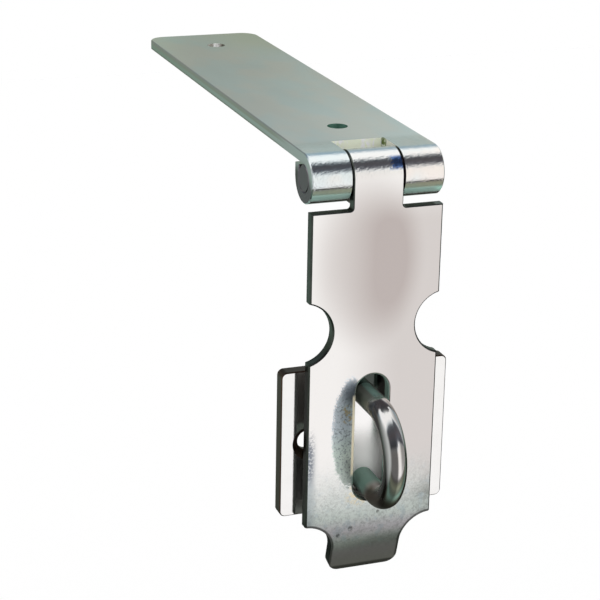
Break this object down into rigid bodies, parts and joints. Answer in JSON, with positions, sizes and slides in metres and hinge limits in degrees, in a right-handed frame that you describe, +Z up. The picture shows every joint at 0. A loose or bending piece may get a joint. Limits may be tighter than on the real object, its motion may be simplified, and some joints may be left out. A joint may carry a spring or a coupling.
{
  "type": "hasp and staple",
  "caption": "Square-set hasp: a long screw-on leaf, a slotted swinging strap with a finger tab, and a U loop staple on a plate for a padlock.",
  "frame": {"origin": "midway between the fixing leaf's two screw holes, on the face that lies on the wood", "axes": "+X along the hinge pin, +Y back along the fixing leaf away from the hinge, +Z up out of the leaf; the strap hangs down in front at -Y"},
  "size_m": [0.0524, 0.1982, 0.1314],
  "materials": {
    "leaf_zinc": "satin zinc plate, smooth",
    "strap_zinc": "bright zinc plate, faintly grained",
    "pin_zinc": "dull zinc plate",
    "plate_zinc": "bright zinc plate, smooth",
    "loop_zinc": "bright zinc plate, polished rod"
  },
  "bodies": {
    "fixed_side": {"fixing_leaf": "leaf_zinc", "hinge_pin": "pin_zinc", "staple_plate": "plate_zinc", "staple_loop": "loop_zinc"},
    "strap": {"hasp_strap": "strap_zinc"}
  },
  "joints": [
    {"name": "strap_swing", "type": "hinge", "parent": "fixed_side", "child": "strap", "pos_m": [0, -0.08765, -0.00425], "axis": [-1, 0, 0], "range_deg": [0, 187]}
  ]
}
